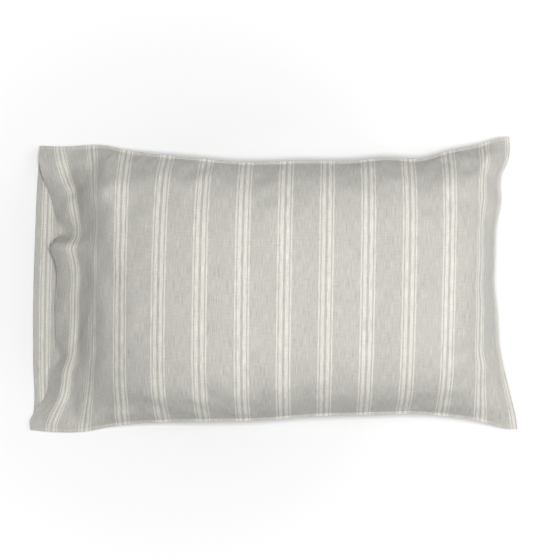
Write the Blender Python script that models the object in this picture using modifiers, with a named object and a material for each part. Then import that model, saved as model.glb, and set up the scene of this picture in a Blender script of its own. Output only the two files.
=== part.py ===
"""A bed pillow lying flat in an open-ended pillowcase.

+X runs along the pillow from the case's open mouth to its closed end, +Y across it and +Z up.
The origin is on the surface the pillow lies on, at the middle of the whole length and width.
The pillow (the insert) slides out of the case along -X, through the mouth.
"""

import math

import bmesh
import bpy

# Pillow insert, as it sits stuffed in the case
INSERT_LENGTH = 0.710
INSERT_WIDTH = 0.428
INSERT_HEIGHT = 0.1440
SEAM_HEIGHT = 0.036
TICKING_THICKNESS = 0.0008
PIPING_RADIUS = 0.0015
SIDE_FULLNESS = 3.2
END_FULLNESS = 5.0
INSERT_FLAT_SHARE_ACROSS = 0.62
INSERT_FLAT_SHARE_ALONG = 0.80
INSERT_LABEL_WIDTH = 0.040
INSERT_LABEL_DROP = 0.046
INSERT_LABEL_OFFSET = 0.150

# Pillowcase
CASE_THICKNESS = 0.0007
CASE_OVERHANG = 0.096
MOUTH_FLARE = 0.028
MOUTH_FLAT_LENGTH = 0.120
MOUTH_FLARE_RUN = 0.210
MOUTH_GAP = 0.016
MOUTH_RIM_HEIGHT = 0.0035
FRONT_SETBACK = 0.042
END_FLARE = 0.034
END_FLARE_RUN = 0.150
END_BOW = 0.034
EAR_HEIGHT = 0.018
HEM_DEPTH = 0.100
CASE_FLAT_SHARE = 0.66
MOUTH_END_SQUARENESS = 8.0
CLOSED_END_SQUARENESS = 3.0
CARE_LABEL_LENGTH = 0.036
CARE_LABEL_WIDTH = 0.022
CARE_LABEL_START = 0.10

# Sewing thread
HEM_THREAD_RADIUS = 0.0002
SEAM_THREAD_RADIUS = 0.0004

# Clearances
TOUCH_GAP = 0.0003
DRAPE_CLEARANCE = 0.003
SIDE_CLEARANCE = 0.0037
END_CLEARANCE = 0.0085
LIFT_OVER_INSERT_END = 0.014

# Mesh fineness
CASE_CELLS_ALONG = 34
CASE_CELLS_ACROSS = 16
INSERT_CELLS_ALONG = 26
INSERT_CELLS_ACROSS = 16

# Places that follow from the sizes above
PIPING_OFFSET = PIPING_RADIUS + TICKING_THICKNESS
CASE_INNER_FLOOR = CASE_THICKNESS
INSERT_UNDERSIDE = CASE_INNER_FLOOR + 2 * HEM_THREAD_RADIUS + 2 * TOUCH_GAP - 0.00005
INSERT_INNER_FLOOR = INSERT_UNDERSIDE + TICKING_THICKNESS
INSERT_INNER_TOP = INSERT_UNDERSIDE + INSERT_HEIGHT - TICKING_THICKNESS
WAIST_HALF_WIDTH = INSERT_WIDTH / 2 + PIPING_OFFSET + PIPING_RADIUS + SIDE_CLEARANCE
CASE_LENGTH = CASE_OVERHANG + INSERT_LENGTH + END_CLEARANCE + END_BOW
MOUTH_X = -CASE_LENGTH / 2
END_X = CASE_LENGTH / 2
INSERT_LEFT_X = MOUTH_X + CASE_OVERHANG
INSERT_MID_X = INSERT_LEFT_X + INSERT_LENGTH / 2


def ease(share):
    """Rise smoothly from 0 to 1 as share goes from 0 to 1."""
    share = min(max(share, 0.0), 1.0)
    return share * share * (3 - 2 * share)


def blend(low, high, share):
    return low + (high - low) * share


def bowl(share, flat_share, power):
    """0 over the flat middle, rising to 1 at the edge."""
    return max(0.0, (abs(share) - flat_share) / (1 - flat_share)) ** power


# Shape of the insert: along and across run from -1 to 1


def end_fall(along):
    return 1 - min(abs(along), 1.0) ** END_FULLNESS


def side_fall(across):
    return 1 - min(abs(across), 1.0) ** SIDE_FULLNESS


def insert_plan(along, across):
    return INSERT_MID_X + along * INSERT_LENGTH / 2, across * INSERT_WIDTH / 2


def insert_top(along, across):
    x, y = insert_plan(along, across)
    crown = INSERT_INNER_TOP - SEAM_HEIGHT
    return x, y, SEAM_HEIGHT + TOUCH_GAP / 2 + crown * end_fall(along) * side_fall(across)


def insert_rise(along, across):
    end_rise = bowl(along, INSERT_FLAT_SHARE_ALONG, 1.6)
    side_rise = bowl(across, INSERT_FLAT_SHARE_ACROSS, 1.6)
    return 1 - (1 - min(end_rise, 1.0)) * (1 - min(side_rise, 1.0))


def insert_bottom(along, across):
    x, y = insert_plan(along, across)
    rise = SEAM_HEIGHT - TOUCH_GAP / 2 - INSERT_INNER_FLOOR
    return x, y, INSERT_INNER_FLOOR + rise * insert_rise(along, across)


# Shape of the case: along and across run from -1 to 1, mouth to closed end and seam to seam


def case_half_width(x):
    mouth_share = 1 - ease((x - MOUTH_X - MOUTH_FLAT_LENGTH) / MOUTH_FLARE_RUN)
    end_share = max(0.0, (x - END_X + END_FLARE_RUN) / END_FLARE_RUN) ** 2
    return WAIST_HALF_WIDTH + MOUTH_FLARE * mouth_share + END_FLARE * end_share


def case_plan(along, across, setback):
    """A point of the panel seen from above; setback draws the mouth edge in at its middle."""
    share = (along + 1) / 2
    straight_x = blend(MOUTH_X, END_X, share)
    bow = END_BOW * (1 - across**2) * ease((share - 0.8) / 0.2)
    mouth = setback * (1 - abs(across) ** 2.4) * (1 - ease(share / 0.16))
    return straight_x - bow + mouth, across * case_half_width(straight_x)


def seam_height(along, across):
    """Height of the side and end seams, low at the mouth and drooping at the two ears."""
    share = (along + 1) / 2
    run = (blend(MOUTH_X, END_X, share) - MOUTH_X - 0.05) / 0.20
    droop = (SEAM_HEIGHT - EAR_HEIGHT) * ease((share - 0.85) / 0.15) * across**4
    return blend(MOUTH_RIM_HEIGHT, SEAM_HEIGHT, ease(run)) - droop


def end_share(x, across):
    """0 at the insert's middle, 1 at the closed end's seam."""
    return max(0.0, (x - INSERT_MID_X) / (END_X - END_BOW * (1 - across**2) - INSERT_MID_X))


def front_lift(x):
    """Height of the front panel's middle line over the floor."""
    inner_top = INSERT_INNER_TOP + TICKING_THICKNESS + DRAPE_CLEARANCE
    if x >= INSERT_MID_X:
        return inner_top
    end_top = SEAM_HEIGHT + LIFT_OVER_INSERT_END
    if x >= INSERT_LEFT_X:
        fall = end_fall((x - INSERT_MID_X) / (INSERT_LENGTH / 2))
        return blend(end_top, inner_top, fall)
    share = (x - MOUTH_X) / CASE_OVERHANG
    return blend(CASE_INNER_FLOOR + MOUTH_GAP, end_top, ease(share))


def front_inner(along, across):
    x, y = case_plan(along, across, FRONT_SETBACK)
    base = seam_height(along, across)
    fall = end_fall((x - INSERT_MID_X) / (INSERT_LENGTH / 2))
    squareness = MOUTH_END_SQUARENESS if x < INSERT_MID_X else CLOSED_END_SQUARENESS
    fullness = SIDE_FULLNESS + squareness * (1 - fall)
    if x < INSERT_LEFT_X:
        fullness = blend(SIDE_FULLNESS, fullness, ease((x - MOUTH_X) / CASE_OVERHANG))
    crown = (front_lift(x) - base) * (1 - end_share(x, across) ** 6)
    return x, y, base + TOUCH_GAP / 2 + max(crown, 0.0) * (1 - abs(across) ** fullness)


def back_inner(along, across):
    x, y = case_plan(along, across, 0.0)
    end_rise = bowl(end_share(x, across), 0.8, 2)
    side_rise = bowl(across, CASE_FLAT_SHARE, 2)
    rise = 1 - (1 - min(end_rise, 1.0)) * (1 - min(side_rise, 1.0))
    height = seam_height(along, across) - TOUCH_GAP / 2 - CASE_INNER_FLOOR
    return x, y, CASE_INNER_FLOOR + height * rise


# Building blocks


def clear_scene():
    for item in list(bpy.data.objects):
        bpy.data.objects.remove(item, do_unlink=True)


def make_material(name, colour, roughness):
    material = bpy.data.materials.new(name)
    material.use_nodes = True
    shader = material.node_tree.nodes["Principled BSDF"]
    shader.inputs["Base Color"].default_value = (*colour, 1.0)
    shader.inputs["Roughness"].default_value = roughness
    shader.inputs["Metallic"].default_value = 0.0
    return material


def add_object(name, data, material, body):
    item = bpy.data.objects.new(name, data)
    item.data.materials.append(material)
    collection.objects.link(item)
    item.parent = body
    item.location = -body.location
    return item


def add_panel(name, cells, shape, thickness, faces_down, material, body):
    """A cloth panel: a grid laid on a shape, thickened away from what it wraps."""
    grid = bmesh.new()
    bmesh.ops.create_grid(grid, x_segments=cells[0], y_segments=cells[1], size=1.0)
    for vertex in grid.verts:
        vertex.co = shape(vertex.co.x, vertex.co.y)
    if faces_down:
        bmesh.ops.reverse_faces(grid, faces=grid.faces)
    mesh = bpy.data.meshes.new(name)
    grid.to_mesh(mesh)
    grid.free()
    mesh.shade_smooth()
    item = add_object(name, mesh, material, body)
    wall = item.modifiers.new("Thickness", "SOLIDIFY")
    wall.thickness = thickness
    wall.offset = 1.0
    return item


def add_tube(name, points, radius, closed, sides_step, material, body):
    """A thread or cord along straight runs between points."""
    curve = bpy.data.curves.new(name, "CURVE")
    curve.dimensions = "3D"
    curve.bevel_depth = radius
    curve.bevel_resolution = sides_step
    curve.use_fill_caps = not closed
    spline = curve.splines.new("POLY")
    spline.points.add(len(points) - 1)
    for point, place in zip(spline.points, points):
        point.co = (*place, 1.0)
    spline.use_cyclic_u = closed
    return add_object(name, curve, material, body)


def steps(count, first=-1.0, last=1.0):
    return [blend(first, last, i / count) for i in range(count + 1)]


def outward(shape, along, across, distance):
    """A point that distance above a shape, square to its surface."""
    step = 0.01
    here = shape(along, across)
    a = [p - q for p, q in zip(shape(along + step, across), shape(along - step, across))]
    b = [p - q for p, q in zip(shape(along, across + step), shape(along, across - step))]
    normal = (a[1] * b[2] - a[2] * b[1], a[2] * b[0] - a[0] * b[2], a[0] * b[1] - a[1] * b[0])
    length = math.hypot(*normal)
    return tuple(p + n / length * distance for p, n in zip(here, normal))


# Pillowcase pieces


def hem_place(setback):
    """The grid line of a panel that lies nearest to the hem's depth from the mouth."""
    cell = CASE_LENGTH / CASE_CELLS_ALONG
    return -1 + 2 * round((HEM_DEPTH + setback) / cell) / CASE_CELLS_ALONG


def add_case_panels(linen, body):
    cells = (CASE_CELLS_ALONG, CASE_CELLS_ACROSS)
    add_panel("case_front_panel", cells, front_inner, CASE_THICKNESS, False, linen, body)
    add_panel("case_back_panel", cells, back_inner, CASE_THICKNESS, True, linen, body)


def add_hem_threads(thread, body):
    edge = 0.97
    across = [a for a in steps(CASE_CELLS_ACROSS) if abs(a) < edge]
    lift = CASE_THICKNESS + HEM_THREAD_RADIUS + TOUCH_GAP
    place = hem_place(FRONT_SETBACK)
    points = [outward(front_inner, place, a, lift) for a in across]
    add_tube("case_front_hem_thread", points, HEM_THREAD_RADIUS, False, 0, thread, body)
    lift = HEM_THREAD_RADIUS + TOUCH_GAP - 0.00005
    points = [outward(back_inner, hem_place(0.0), a, lift) for a in across]
    add_tube("case_back_hem_thread", points, HEM_THREAD_RADIUS, False, 0, thread, body)


def add_seam_threads(thread, body):
    """The threads that join the two panels, in the notch outside their edges."""
    reach = SEAM_THREAD_RADIUS + CASE_THICKNESS
    for name, side in (("case_upper_seam_thread", 1), ("case_lower_seam_thread", -1)):
        points = []
        for along in steps(CASE_CELLS_ALONG):
            x, y = case_plan(along, side, 0.0)
            points.append((x, y + side * reach, seam_height(along, side)))
        add_tube(name, points, SEAM_THREAD_RADIUS, False, 0, thread, body)
    points = []
    for across in steps(CASE_CELLS_ACROSS):
        x, y = case_plan(1.0, across, 0.0)
        points.append((x + reach, y, seam_height(1.0, across)))
    add_tube("case_end_seam_thread", points, SEAM_THREAD_RADIUS, False, 0, thread, body)


def add_care_label(label, body):
    """A blank label caught in the lower side seam near the mouth, lying on the back panel."""
    length_share = CARE_LABEL_LENGTH / CASE_LENGTH
    width_share = CARE_LABEL_WIDTH / case_half_width(MOUTH_X)
    lift = TOUCH_GAP + 0.00015

    def shape(along, across):
        place_along = -1 + CARE_LABEL_START + (along + 1) * length_share
        place_across = -0.97 + (across + 1) / 2 * width_share
        x, y, z = back_inner(place_along, place_across)
        return x, y, z + lift

    add_panel("case_care_label", (4, 3), shape, 0.0004, False, label, body)


# Insert pieces


def add_insert_covers(ticking, body):
    cells = (INSERT_CELLS_ALONG, INSERT_CELLS_ACROSS)
    wall = TICKING_THICKNESS
    add_panel("insert_cover_top", cells, insert_top, wall, False, ticking, body)
    add_panel("insert_cover_bottom", cells, insert_bottom, wall, True, ticking, body)


def add_insert_piping(cord, body):
    """A cord round the insert's edge, in the notch where its two covers meet."""
    half_length = INSERT_LENGTH / 2 + PIPING_OFFSET
    half_width = INSERT_WIDTH / 2 + PIPING_OFFSET
    corner_cut = 0.001
    points = []
    for side_x, side_y in ((1, -1), (1, 1), (-1, 1), (-1, -1)):
        x = INSERT_MID_X + side_x * half_length
        y = side_y * half_width
        across_corner = [(x, y - side_y * corner_cut), (x - side_x * corner_cut, y)]
        if side_x * side_y < 0:
            across_corner.reverse()
        points += [(*place, SEAM_HEIGHT) for place in across_corner]
    add_tube("insert_piping", points, PIPING_RADIUS, True, 2, cord, body)


def add_insert_fill(fibre, body):
    """The fibre filling, a rounded block inside the covers that rests on the lower one."""
    plan_share = 0.965
    corner_power = 6
    lump = bmesh.new()
    bmesh.ops.create_uvsphere(lump, u_segments=28, v_segments=14, radius=1.0)
    for vertex in lump.verts:
        across_size = abs(vertex.co.x) ** corner_power + abs(vertex.co.y) ** corner_power
        reach = math.hypot(vertex.co.x, vertex.co.y)
        spread = reach / across_size ** (1 / corner_power) if reach > 1e-6 else 1.0
        along = vertex.co.x * spread * plan_share
        across = vertex.co.y * spread * plan_share
        x, y = insert_plan(along, across)
        upper = vertex.co.z > 0.01
        lower = vertex.co.z < -0.01
        z = SEAM_HEIGHT
        if upper:
            z = insert_top(along * 1.03, across * 1.03)[2] - DRAPE_CLEARANCE
        if lower:
            rise = insert_rise(along * 1.03, across * 1.03)
            z = blend(INSERT_INNER_FLOOR + TOUCH_GAP, SEAM_HEIGHT - DRAPE_CLEARANCE, rise)
        vertex.co = (x, y, z)
    mesh = bpy.data.meshes.new("insert_fill")
    lump.to_mesh(mesh)
    lump.free()
    mesh.shade_smooth()
    add_object("insert_fill", mesh, fibre, body)


def add_insert_label(label, body):
    """A blank label sewn into the insert's mouth-side seam, drooping on to the case's back."""
    start_x = INSERT_LEFT_X - PIPING_OFFSET - PIPING_RADIUS - TOUCH_GAP
    tip_height = INSERT_UNDERSIDE + TOUCH_GAP

    def shape(along, across):
        share = (along + 1) / 2
        x = start_x - INSERT_LABEL_DROP * (1 - share)
        z = blend(tip_height, SEAM_HEIGHT, ease(share))
        return x, INSERT_LABEL_OFFSET + across * INSERT_LABEL_WIDTH / 2, z

    add_panel("insert_label", (8, 2), shape, 0.0004, False, label, body)


clear_scene()
collection = bpy.data.collections.new("bed_pillow_in_case")
bpy.context.scene.collection.children.link(collection)

case_body = bpy.data.objects.new("pillowcase", None)
insert_body = bpy.data.objects.new("insert", None)
insert_body.location = (INSERT_MID_X, 0.0, INSERT_UNDERSIDE)
for empty in (case_body, insert_body):
    collection.objects.link(empty)

striped_linen = make_material("striped_linen", (0.50, 0.485, 0.455), 0.85)
sewing_thread = make_material("sewing_thread", (0.62, 0.60, 0.56), 0.70)
white_ticking = make_material("white_ticking", (0.86, 0.85, 0.82), 0.80)
piping_cord = make_material("piping_cord", (0.90, 0.89, 0.86), 0.75)
polyester_fibre = make_material("polyester_fibre", (0.93, 0.93, 0.92), 0.90)
blank_label = make_material("blank_label", (0.92, 0.91, 0.88), 0.60)

add_case_panels(striped_linen, case_body)
add_hem_threads(sewing_thread, case_body)
add_seam_threads(sewing_thread, case_body)
add_care_label(blank_label, case_body)
add_insert_covers(white_ticking, insert_body)
add_insert_piping(piping_cord, insert_body)
add_insert_fill(polyester_fibre, insert_body)
add_insert_label(blank_label, insert_body)
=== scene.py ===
"""A bed pillow in an open-ended pillowcase of yarn-dyed striped linen, lying flat."""

import math

import bpy
import numpy as np
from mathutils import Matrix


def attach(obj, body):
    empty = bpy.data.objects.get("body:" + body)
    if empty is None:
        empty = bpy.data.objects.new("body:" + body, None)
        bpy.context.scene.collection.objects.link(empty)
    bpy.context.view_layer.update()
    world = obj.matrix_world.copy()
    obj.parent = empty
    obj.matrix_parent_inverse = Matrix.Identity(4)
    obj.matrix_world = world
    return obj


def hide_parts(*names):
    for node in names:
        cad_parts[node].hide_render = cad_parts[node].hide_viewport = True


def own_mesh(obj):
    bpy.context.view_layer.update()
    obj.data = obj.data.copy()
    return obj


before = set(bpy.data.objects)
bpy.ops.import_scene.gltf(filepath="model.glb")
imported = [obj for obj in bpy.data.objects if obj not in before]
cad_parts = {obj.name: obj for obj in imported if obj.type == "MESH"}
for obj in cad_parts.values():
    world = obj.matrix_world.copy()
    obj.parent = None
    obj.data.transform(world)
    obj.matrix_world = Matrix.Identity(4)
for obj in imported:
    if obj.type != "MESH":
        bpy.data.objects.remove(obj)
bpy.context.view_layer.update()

# ---------------------------------------------------------------------------
# Camera, table and light: the pillow lies on a white table, seen from straight
# above. A large soft lamp hangs overhead, a weaker one stands past the case's
# closed end, and a pale room closes the horizon.

CAMERA_HEIGHT = 3.2
VIEW_CENTRE = (0.0122, 0.0088)
VIEW_WIDTH = 0.98
SENSOR_WIDTH = 36.0

camera_data = bpy.data.cameras.new("overhead_camera")
camera_data.sensor_width = SENSOR_WIDTH
camera_data.lens = SENSOR_WIDTH * CAMERA_HEIGHT / VIEW_WIDTH
camera_data.clip_end = 50.0
camera = bpy.data.objects.new("overhead_camera", camera_data)
camera.location = (*VIEW_CENTRE, CAMERA_HEIGHT)
bpy.context.scene.collection.objects.link(camera)
bpy.context.scene.camera = camera
bpy.context.scene.view_settings.view_transform = "Standard"


def shader_of(material):
    return material.node_tree.nodes["Principled BSDF"]


def new_material(name, colour, roughness):
    material = bpy.data.materials.new(name)
    material.use_nodes = True
    material.diffuse_color = (*colour, 1.0)
    shader_of(material).inputs["Base Color"].default_value = (*colour, 1.0)
    shader_of(material).inputs["Roughness"].default_value = roughness
    shader_of(material).inputs["Specular IOR Level"].default_value = 0.2
    return material


def add_lamp(name, size, power, place):
    """A soft rectangular lamp aimed at the middle of the table."""
    data = bpy.data.lights.new(name, "AREA")
    data.shape = "RECTANGLE"
    data.size, data.size_y = size
    data.energy = power
    lamp = bpy.data.objects.new(name, data)
    lamp.location = place
    x, y, z = place
    lamp.rotation_euler = (math.atan2(math.hypot(x, y), z), 0.0, math.atan2(x, -y))
    bpy.context.scene.collection.objects.link(lamp)


add_lamp("overhead_softbox", size=(1.2, 1.2), power=66.5, place=(0.16, 0.0, 2.4))
add_lamp("side_softbox", size=(1.4, 0.9), power=21.0, place=(2.2, 0.0, 1.5))


class Nodes:
    """Short ways to add nodes to one material's, group's or world's tree."""

    def __init__(self, tree):
        self.tree = tree

    def add(self, kind, **settings):
        node = self.tree.nodes.new(kind)
        for key, value in settings.items():
            setattr(node, key, value)
        return node

    def join(self, source, target):
        self.tree.links.new(source, target)

    def feed(self, value, socket):
        """Give a socket its value, which is a number or comes from another node."""
        if isinstance(value, bpy.types.NodeSocket):
            self.join(value, socket)
        else:
            socket.default_value = value

    def maths(self, operation, *values):
        node = self.add("ShaderNodeMath", operation=operation)
        for socket, value in zip(node.inputs, values):
            self.feed(value, socket)
        return node.outputs[0]

    def noise(self, vector, detail, stretch):
        """Fine noise, 0 to 1, with so many lumps a metre along each axis."""
        mapping = self.add("ShaderNodeMapping")
        self.feed(stretch, mapping.inputs["Scale"])
        self.join(vector, mapping.inputs["Vector"])
        node = self.add("ShaderNodeTexNoise")
        node.inputs["Scale"].default_value = 1.0
        self.feed(detail, node.inputs["Detail"])
        self.join(mapping.outputs[0], node.inputs["Vector"])
        return node.outputs["Fac"]

    def axes(self, vector):
        node = self.add("ShaderNodeSeparateXYZ")
        self.join(vector, node.inputs[0])
        return node.outputs

    def blend(self, first, second, share):
        """One colour turning into another, a value of 0 to 1 of the way."""
        node = self.add("ShaderNodeMix", data_type="RGBA")
        for title, colour in (("A", first), ("B", second)):
            given = isinstance(colour, bpy.types.NodeSocket)
            self.feed(colour if given else (*colour, 1.0), node.inputs[title])
        self.join(share, node.inputs["Factor"])
        return node.outputs["Result"]

    def scaled(self, colour, tone):
        """A colour times a number."""
        node = self.add("ShaderNodeVectorMath", operation="SCALE")
        self.feed(colour, node.inputs[0])
        self.join(tone, node.inputs["Scale"])
        return node.outputs[0]

    def bumps(self, height, strength, depth):
        """The normal of a surface with a fine relief."""
        node = self.add("ShaderNodeBump")
        node.inputs["Strength"].default_value = strength
        node.inputs["Distance"].default_value = depth
        self.join(height, node.inputs["Height"])
        return node.outputs[0]


# Past the lamps' reach the table glows, so that it stays white to the horizon
TABLE_SIZE = 30.0
TABLE_DROP = 0.0002
TABLE_COLOUR = (0.70, 0.70, 0.70)
TABLE_GLOW = (0.9, 0.9, 0.9)
LAMPLIT_REACH = 0.28
ROOM_LIT_FROM = 1.7

bpy.ops.mesh.primitive_plane_add(size=TABLE_SIZE, location=(0.0, 0.0, -TABLE_DROP))
table = bpy.context.object
table.name = "white_table"
table_white = new_material("white_table", TABLE_COLOUR, 0.6)
n = Nodes(table_white.node_tree)
reach = n.add("ShaderNodeVectorMath", operation="LENGTH")
n.join(n.add("ShaderNodeTexCoord").outputs["Object"], reach.inputs[0])
far = n.maths("SUBTRACT", reach.outputs["Value"], LAMPLIT_REACH)
far = n.maths("DIVIDE", far, ROOM_LIT_FROM - LAMPLIT_REACH)
far = n.maths("MINIMUM", n.maths("MAXIMUM", far, 0.0), 1.0)
n.join(n.scaled(TABLE_GLOW, far), shader_of(table_white).inputs["Emission Color"])
shader_of(table_white).inputs["Emission Strength"].default_value = 1.0
table.data.materials.append(table_white)

ROOM_LIGHT = 0.08
HORIZON_LIGHT = 0.90
HORIZON_FADE = 40.0

world = bpy.data.worlds.new("pale_room")
world.use_nodes = True
n = Nodes(world.node_tree)
height = n.maths("MAXIMUM", n.axes(n.add("ShaderNodeTexCoord").outputs["Generated"])[2], 0.0)
paling = n.maths("POWER", 2.0, n.maths("MULTIPLY", height, -HORIZON_FADE))
strength = n.maths("MULTIPLY_ADD", paling, HORIZON_LIGHT - ROOM_LIGHT, ROOM_LIGHT)
background = world.node_tree.nodes["Background"]
background.inputs["Color"].default_value = (1.0, 1.0, 1.0, 1.0)
n.join(strength, background.inputs["Strength"])
bpy.context.scene.world = world

# ---------------------------------------------------------------------------
# The case's cloth: plain-weave linen, yarn-dyed, with a warm grey melange ground
# and groups of four cream stripes across the case. Slubs run along the stripes.

STRIPE_REPEAT = 0.070
GROUND_COLOUR = (0.428, 0.415, 0.385)
BEIGE_COLOUR = (0.420, 0.404, 0.362)
CREAM_COLOUR = (0.568, 0.558, 0.515)
WIDE_STRIPE = (0.0021, 0.0078)
NARROW_STRIPE = (0.0100, 0.0125)
STRIPE_GROUP = (-0.001, 0.0134)
STRIPE_SHARPNESS = 1800.0
LINEN_THREAD_SPACING = 0.0007

# A pressed fold runs the case's whole length, and one short crease runs beside it
# across the ground between two groups of stripes. Their light and shade are painted
# into the tone: a painted highlight along one side of the fold and painted shade along
# the other, and a painted highlight along the crease.
PRESSED_FOLD = 0.0855
FOLD_WANDER = 0.005
PAINTED_FOLD_HIGHLIGHT, PAINTED_FOLD_HIGHLIGHT_WIDTH = 0.06, 0.0010
PAINTED_FOLD_SHADE, PAINTED_FOLD_SHADE_WIDTH = -0.05, 0.0014
PAINTED_CREASE_HIGHLIGHT = 0.10
CREASE_ALONG = (0.630, 0.697)
CREASE_ACROSS = (-0.1756, -0.1744)


def plain_weave_group():
    """Plain weave over a map in metres: its relief, its slubs and slow unevenness."""
    group = bpy.data.node_groups.new("plain_weave", "ShaderNodeTree")
    for title, kind in (("Cloth", "NodeSocketVector"), ("Thread spacing", "NodeSocketFloat"),
                        ("Slub", "NodeSocketFloat")):
        group.interface.new_socket(title, in_out="INPUT", socket_type=kind)
    for title in ("Relief", "Streak", "Mottle"):
        group.interface.new_socket(title, in_out="OUTPUT", socket_type="NodeSocketFloat")
    n = Nodes(group)
    given, result = n.add("NodeGroupInput"), n.add("NodeGroupOutput")
    cloth = given.outputs["Cloth"]
    turns = n.maths("DIVIDE", math.pi, given.outputs["Thread spacing"])
    across, along = n.axes(cloth)[:2]
    threads = n.maths("MULTIPLY", n.maths("SINE", n.maths("MULTIPLY", across, turns)),
                      n.maths("SINE", n.maths("MULTIPLY", along, turns)))
    long_slubs = n.noise(cloth, 2.0, (900.0, 45.0, 1.0))
    cross_slubs = n.noise(cloth, 2.0, (60.0, 900.0, 1.0))
    specks = n.noise(cloth, 1.0, (700.0, 700.0, 1.0))
    streak = n.maths("MULTIPLY_ADD", cross_slubs, 0.38, n.maths("MULTIPLY", long_slubs, 0.92))
    streak = n.maths("SUBTRACT", n.maths("MULTIPLY_ADD", specks, 0.5, streak), 0.9)
    streak = n.maths("MULTIPLY", streak, given.outputs["Slub"])
    relief = n.maths("MULTIPLY_ADD", threads, 0.35, n.maths("MULTIPLY", streak, 1.2))
    mottle = n.maths("SUBTRACT", n.noise(cloth, 3.0, (16.0, 11.0, 1.0)), 0.5)
    for title, value in (("Relief", relief), ("Streak", streak), ("Mottle", mottle)):
        n.join(value, result.inputs[title])
    return group


plain_weave = plain_weave_group()


def cloth_map(n):
    return n.add("ShaderNodeUVMap", uv_map="cloth").outputs[0]


def woven_material(name, colour, roughness, spacing, slub, relief_strength):
    """A plain-woven cloth of one colour; also its nodes and its tone, about 1."""
    material = new_material(name, colour, roughness)
    n = Nodes(material.node_tree)
    weave = n.add("ShaderNodeGroup")
    weave.node_tree = plain_weave
    weave.inputs["Thread spacing"].default_value = spacing
    weave.inputs["Slub"].default_value = slub
    n.join(cloth_map(n), weave.inputs["Cloth"])
    tone = n.maths("MULTIPLY_ADD", weave.outputs["Streak"], 0.85, 1.0)
    tone = n.maths("MULTIPLY_ADD", weave.outputs["Mottle"], 0.12, tone)
    relief = n.bumps(weave.outputs["Relief"], strength=relief_strength, depth=0.0002)
    n.join(relief, shader_of(material).inputs["Normal"])
    return material, n, tone


def band(n, distance, inner, outer):
    """1 where a distance lies between inner and outer, with soft edges."""
    rise = n.maths("SUBTRACT", distance, inner)
    fall = n.maths("SUBTRACT", outer, distance)
    edge = n.maths("MULTIPLY_ADD", n.maths("MINIMUM", rise, fall), STRIPE_SHARPNESS, 0.5)
    return n.maths("MINIMUM", n.maths("MAXIMUM", edge, 0.0), 1.0)


linen, n, tone = woven_material("striped_linen", GROUND_COLOUR, roughness=0.88,
                                spacing=LINEN_THREAD_SPACING, slub=1.0, relief_strength=0.35)
shader_of(linen).inputs["Sheen Weight"].default_value = 0.15
shader_of(linen).inputs["Sheen Roughness"].default_value = 0.5
along_cloth, across_cloth = n.axes(cloth_map(n))[:2]
from_middle = n.maths("PINGPONG", along_cloth, STRIPE_REPEAT / 2)
cream = n.maths("ADD", band(n, from_middle, *WIDE_STRIPE), band(n, from_middle, *NARROW_STRIPE))
between = n.maths("SUBTRACT", band(n, from_middle, *STRIPE_GROUP), cream)
wander = n.noise(cloth_map(n), 2.0, (9.0, 0.0, 1.0))
fold_place = n.maths("MULTIPLY_ADD", wander, FOLD_WANDER, across_cloth)
# Painted highlight along one side of the pressed fold, painted shade along the other
painted_highlight_side = band(n, fold_place, PRESSED_FOLD, PRESSED_FOLD + PAINTED_FOLD_HIGHLIGHT_WIDTH)
tone = n.maths("MULTIPLY_ADD", painted_highlight_side, PAINTED_FOLD_HIGHLIGHT, tone)
painted_shade_side = band(n, fold_place, PRESSED_FOLD - PAINTED_FOLD_SHADE_WIDTH, PRESSED_FOLD)
tone = n.maths("MULTIPLY_ADD", painted_shade_side, PAINTED_FOLD_SHADE, tone)
# Painted highlight along the short crease
painted_crease_mask = n.maths("MULTIPLY", band(n, across_cloth, *CREASE_ACROSS), band(n, along_cloth, *CREASE_ALONG))
tone = n.maths("MULTIPLY_ADD", painted_crease_mask, PAINTED_CREASE_HIGHLIGHT, tone)
warp_colour = n.blend(n.blend(GROUND_COLOUR, BEIGE_COLOUR, between), CREAM_COLOUR, cream)
n.join(n.scaled(warp_colour, tone), shader_of(linen).inputs["Base Color"])

# ---------------------------------------------------------------------------
# The back panel: linen lying on the table, sewn to the front along both sides and
# the closed end. The pillow draws those seams in and up, and leaves the case's
# corners out as ears. Its hem is turned in at the mouth, past the front's edge.

CASE_LENGTH = 0.885
CASE_WIDTH = 0.510
HEM_DEPTH = 0.100
HEM_GAP = 0.0007
CLOTH_THICKNESS = 0.00045
PANEL_GAP = 0.0007
TABLE_CLEARANCE = 0.0001
BACK_CELLS = (200, 116)
BACK_FIRST_GROUP = 0.0250

# Each seam as it lies: distance along the cloth from the mouth, then x, y, z
UPPER_SEAM = (
    (0.000, -0.4072, 0.2430, 0.004), (0.064, -0.3581, 0.2411, 0.006),
    (0.140, -0.2946, 0.2424, 0.012), (0.188, -0.2521, 0.2331, 0.020),
    (0.242, -0.1959, 0.2256, 0.028), (0.313, -0.1263, 0.2183, 0.034),
    (0.398, -0.0431, 0.2112, 0.036), (0.487, 0.0469, 0.2138, 0.036),
    (0.574, 0.1334, 0.2138, 0.036), (0.635, 0.1939, 0.2190, 0.036),
    (0.696, 0.2546, 0.2174, 0.034), (0.753, 0.3104, 0.2324, 0.030),
    (0.797, 0.3525, 0.2413, 0.026), (0.858, 0.3951, 0.2559, 0.018),
    (0.885, 0.4112, 0.2579, 0.014),
)
LOWER_SEAM = (
    (0.000, -0.4236, -0.2535, 0.003), (0.063, -0.3723, -0.2569, 0.004),
    (0.116, -0.3284, -0.2550, 0.006), (0.162, -0.2841, -0.2458, 0.012),
    (0.232, -0.2135, -0.2379, 0.024), (0.319, -0.1263, -0.2354, 0.034),
    (0.424, -0.0224, -0.2335, 0.036), (0.511, 0.0642, -0.2266, 0.036),
    (0.635, 0.1853, -0.2231, 0.036), (0.706, 0.2546, -0.2215, 0.035),
    (0.761, 0.3070, -0.2270, 0.030), (0.815, 0.3596, -0.2361, 0.024),
    (0.862, 0.4043, -0.2491, 0.014), (0.885, 0.4257, -0.2512, 0.010),
)
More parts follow.
